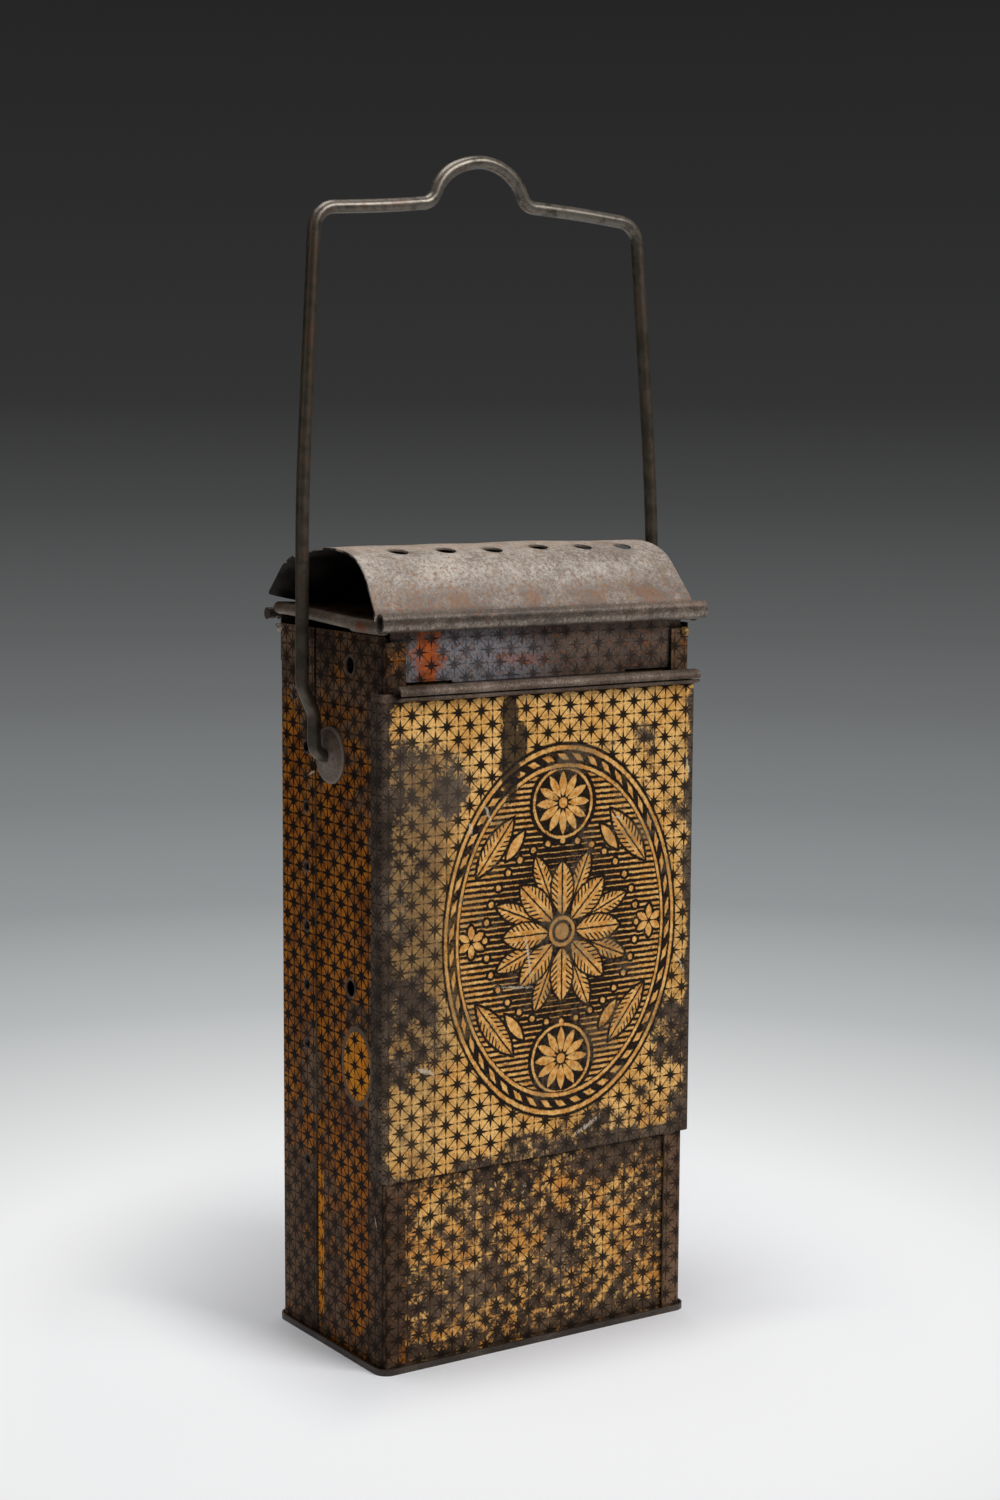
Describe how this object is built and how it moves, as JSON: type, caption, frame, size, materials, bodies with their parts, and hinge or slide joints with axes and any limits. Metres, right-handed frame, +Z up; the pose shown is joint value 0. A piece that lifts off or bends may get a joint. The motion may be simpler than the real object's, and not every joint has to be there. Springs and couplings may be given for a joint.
{
  "type": "pocket lantern",
  "caption": "Flat tin pocket lantern: printed case, sliding front over a window, hinged lid with a pierced draught hood, wire bail, oil fount and flat wick inside.",
  "frame": {"origin": "middle of the case's footprint, on the underside of the base tray", "axes": "+Z up, +X to the lantern's right seen from the front, front face towards -Y"},
  "size_m": [0.0796, 0.0422, 0.2169],
  "materials": {
    "printed_tin": "printed and worn, semi gloss",
    "picture_tin": "printed and worn, semi gloss",
    "bare_tin": "aged tin with rust specks",
    "dark_tin": "dark aged tin",
    "bright_tin": "bright tin",
    "wire": "dark steel wire",
    "brass": "aged",
    "solder": "grey solder",
    "mica": "clear, slightly amber",
    "cotton": "woven"
  },
  "bodies": {
    "case": {"rear_shell": "printed_tin", "side_panel_left": "printed_tin", "side_panel_right": "printed_tin", "front_panel": "printed_tin", "base_tray": "dark_tin", "window_frame": "bright_tin", "window_pane": "mica", "reflector": "bright_tin", "fount_body": "bright_tin", "fount_top": "bright_tin", "fount_clips": "bright_tin", "filler_neck": "brass", "filler_cap": "brass", "burner_collar": "brass", "burner_cap": "brass", "wick_tube": "brass", "wick": "cotton", "pivot_discs": "bare_tin", "case_hinge_leaf": "dark_tin", "hinge_pin": "wire", "solder_beads": "solder"},
    "slide": {"front_cover": "picture_tin"},
    "lid": {"lid_plate": "dark_tin", "lid_front_bead": "dark_tin", "lid_corner_sleeves": "printed_tin", "chimney_collar": "dark_tin", "hood": "bare_tin"},
    "bail": {"bail_wire": "wire"}
  },
  "joints": [
    {"name": "front_slide", "type": "slide", "parent": "case", "child": "slide", "axis": [0, 0, -1], "range_m": [0, 0.0338]},
    {"name": "lid_hinge", "type": "hinge", "parent": "case", "child": "lid", "pos_m": [0, 0.01965, 0.1333], "axis": [-1, 0, 0], "range_deg": [0, 110]},
    {"name": "bail_pivot", "type": "hinge", "parent": "case", "child": "bail", "pos_m": [0, 0, 0.1092], "axis": [1, 0, 0], "range_deg": [-164.5, 166.5]}
  ]
}
